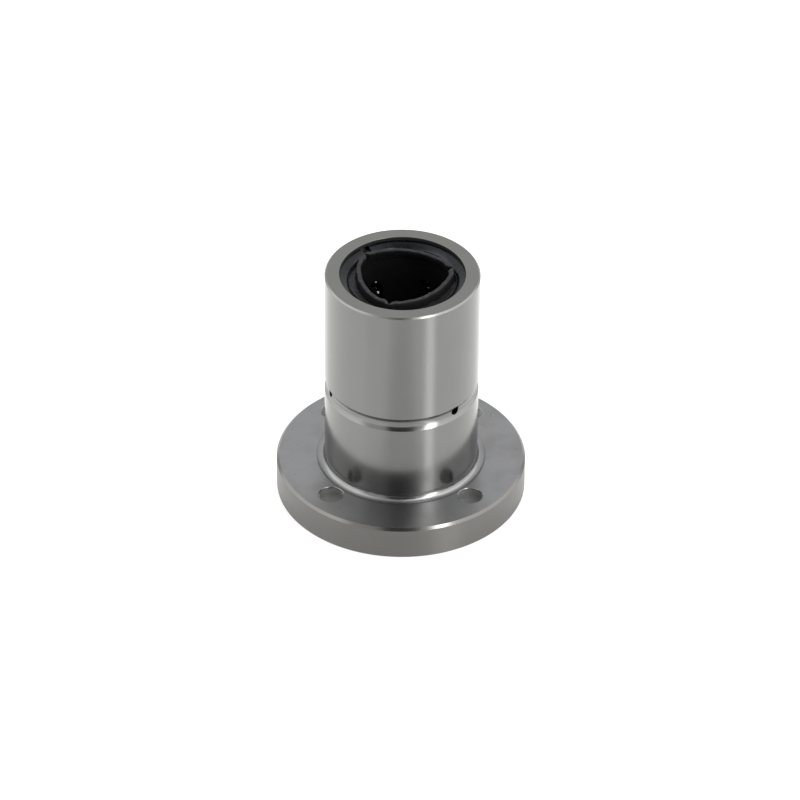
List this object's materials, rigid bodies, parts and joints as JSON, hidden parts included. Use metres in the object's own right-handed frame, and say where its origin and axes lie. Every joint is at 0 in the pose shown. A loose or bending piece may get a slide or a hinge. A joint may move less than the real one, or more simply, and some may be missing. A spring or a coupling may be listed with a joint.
{
  "type": "linear ball bushing",
  "caption": "Flanged linear ball bushing: a ground steel sleeve with a round bolt flange, a grease groove, and balls recirculating in a moulded cage, with a rubber lip seal at each end.",
  "frame": {"origin": "centre of the flange's base face, on the shaft axis", "axes": "+Z along the shaft axis, from the flange to the free end of the sleeve; +X and +Y lie midway between the bolt holes"},
  "size_m": [0.0652, 0.0652, 0.0669],
  "materials": {
    "ground_steel": "hardened bearing steel, ground all over",
    "cage_plastic": "moulded black plastic",
    "seal_rubber": "matt nitrile rubber",
    "washer_steel": "stamped sheet steel",
    "spring_steel": "blued spring steel",
    "ball_steel": "polished bearing balls"
  },
  "bodies": {
    "sleeve": {"flanged_sleeve": "ground_steel", "ball_cage": "cage_plastic", "lip_seal_top": "seal_rubber", "lip_seal_bottom": "seal_rubber", "seal_washer_top": "washer_steel", "seal_washer_bottom": "washer_steel", "snap_ring_top": "spring_steel", "snap_ring_bottom": "spring_steel"},
    "loaded_rows": {"loaded_balls_1": "ball_steel", "loaded_balls_2": "ball_steel", "loaded_balls_3": "ball_steel", "loaded_balls_4": "ball_steel", "loaded_balls_5": "ball_steel", "loaded_balls_6": "ball_steel"},
    "return_rows": {"return_balls_1": "ball_steel", "return_balls_2": "ball_steel", "return_balls_3": "ball_steel", "return_balls_4": "ball_steel", "return_balls_5": "ball_steel", "return_balls_6": "ball_steel"},
    "top_turn_1": {"top_turn_balls_1": "ball_steel"},
    "bottom_turn_1": {"bottom_turn_balls_1": "ball_steel"},
    "top_turn_2": {"top_turn_balls_2": "ball_steel"},
    "bottom_turn_2": {"bottom_turn_balls_2": "ball_steel"},
    "top_turn_3": {"top_turn_balls_3": "ball_steel"},
    "bottom_turn_3": {"bottom_turn_balls_3": "ball_steel"},
    "top_turn_4": {"top_turn_balls_4": "ball_steel"},
    "bottom_turn_4": {"bottom_turn_balls_4": "ball_steel"},
    "top_turn_5": {"top_turn_balls_5": "ball_steel"},
    "bottom_turn_5": {"bottom_turn_balls_5": "ball_steel"},
    "top_turn_6": {"top_turn_balls_6": "ball_steel"},
    "bottom_turn_6": {"bottom_turn_balls_6": "ball_steel"}
  },
  "joints": [
    {"name": "loaded_rows_roll", "type": "slide", "parent": "sleeve", "child": "loaded_rows", "axis": [0, 0, 1], "range_m": [-0.002, 0.002]},
    {"name": "return_rows_roll", "type": "slide", "parent": "sleeve", "child": "return_rows", "axis": [0, 0, 1], "range_m": [-0.002, 0.002]},
    {"name": "top_turn_1_roll", "type": "hinge", "parent": "sleeve", "child": "top_turn_1", "pos_m": [0.01433, 0.00205, 0.05348], "axis": [-0.9994, 0.0349, 0], "range_deg": [-45.1, 45.1]},
    {"name": "bottom_turn_1_roll", "type": "hinge", "parent": "sleeve", "child": "bottom_turn_1", "pos_m": [0.01433, 0.00205, 0.01342], "axis": [-0.9994, 0.0349, 0], "range_deg": [-45.1, 45.1]},
    {"name": "top_turn_2_roll", "type": "hinge", "parent": "sleeve", "child": "top_turn_2", "pos_m": [0.00539, 0.01344, 0.05348], "axis": [-0.5299, -0.848, 0], "range_deg": [-45.1, 45.1]},
    {"name": "bottom_turn_2_roll", "type": "hinge", "parent": "sleeve", "child": "bottom_turn_2", "pos_m": [0.00539, 0.01344, 0.01342], "axis": [-0.5299, -0.848, 0], "range_deg": [-45.1, 45.1]},
    {"name": "top_turn_3_roll", "type": "hinge", "parent": "sleeve", "child": "top_turn_3", "pos_m": [-0.00894, 0.01138, 0.05348], "axis": [0.4695, -0.8829, 0], "range_deg": [-45.1, 45.1]},
    {"name": "bottom_turn_3_roll", "type": "hinge", "parent": "sleeve", "child": "bottom_turn_3", "pos_m": [-0.00894, 0.01138, 0.01342], "axis": [0.4695, -0.8829, 0], "range_deg": [-45.1, 45.1]},
    {"name": "top_turn_4_roll", "type": "hinge", "parent": "sleeve", "child": "top_turn_4", "pos_m": [-0.01433, -0.00205, 0.05348], "axis": [0.9994, -0.0349, 0], "range_deg": [-45.1, 45.1]},
    {"name": "bottom_turn_4_roll", "type": "hinge", "parent": "sleeve", "child": "bottom_turn_4", "pos_m": [-0.01433, -0.00205, 0.01342], "axis": [0.9994, -0.0349, 0], "range_deg": [-45.1, 45.1]},
    {"name": "top_turn_5_roll", "type": "hinge", "parent": "sleeve", "child": "top_turn_5", "pos_m": [-0.00539, -0.01344, 0.05348], "axis": [0.5299, 0.848, 0], "range_deg": [-45.1, 45.1]},
    {"name": "bottom_turn_5_roll", "type": "hinge", "parent": "sleeve", "child": "bottom_turn_5", "pos_m": [-0.00539, -0.01344, 0.01342], "axis": [0.5299, 0.848, 0], "range_deg": [-45.1, 45.1]},
    {"name": "top_turn_6_roll", "type": "hinge", "parent": "sleeve", "child": "top_turn_6", "pos_m": [0.00894, -0.01138, 0.05348], "axis": [-0.4695, 0.8829, 0], "range_deg": [-45.1, 45.1]},
    {"name": "bottom_turn_6_roll", "type": "hinge", "parent": "sleeve", "child": "bottom_turn_6", "pos_m": [0.00894, -0.01138, 0.01342], "axis": [-0.4695, 0.8829, 0], "range_deg": [-45.1, 45.1]}
  ],
  "couplings": [
    {"joint": "return_rows_roll", "follows": "loaded_rows_roll", "ratio": -1},
    {"joint": "top_turn_1_roll", "follows": "loaded_rows_roll", "rad_per_m": 392.16},
    {"joint": "bottom_turn_1_roll", "follows": "loaded_rows_roll", "rad_per_m": 392.16},
    {"joint": "top_turn_2_roll", "follows": "loaded_rows_roll", "rad_per_m": 392.16},
    {"joint": "bottom_turn_2_roll", "follows": "loaded_rows_roll", "rad_per_m": 392.16},
    {"joint": "top_turn_3_roll", "follows": "loaded_rows_roll", "rad_per_m": 392.16},
    {"joint": "bottom_turn_3_roll", "follows": "loaded_rows_roll", "rad_per_m": 392.16},
    {"joint": "top_turn_4_roll", "follows": "loaded_rows_roll", "rad_per_m": 392.16},
    {"joint": "bottom_turn_4_roll", "follows": "loaded_rows_roll", "rad_per_m": 392.16},
    {"joint": "top_turn_5_roll", "follows": "loaded_rows_roll", "rad_per_m": 392.16},
    {"joint": "bottom_turn_5_roll", "follows": "loaded_rows_roll", "rad_per_m": 392.16},
    {"joint": "top_turn_6_roll", "follows": "loaded_rows_roll", "rad_per_m": 392.16},
    {"joint": "bottom_turn_6_roll", "follows": "loaded_rows_roll", "rad_per_m": 392.16}
  ]
}
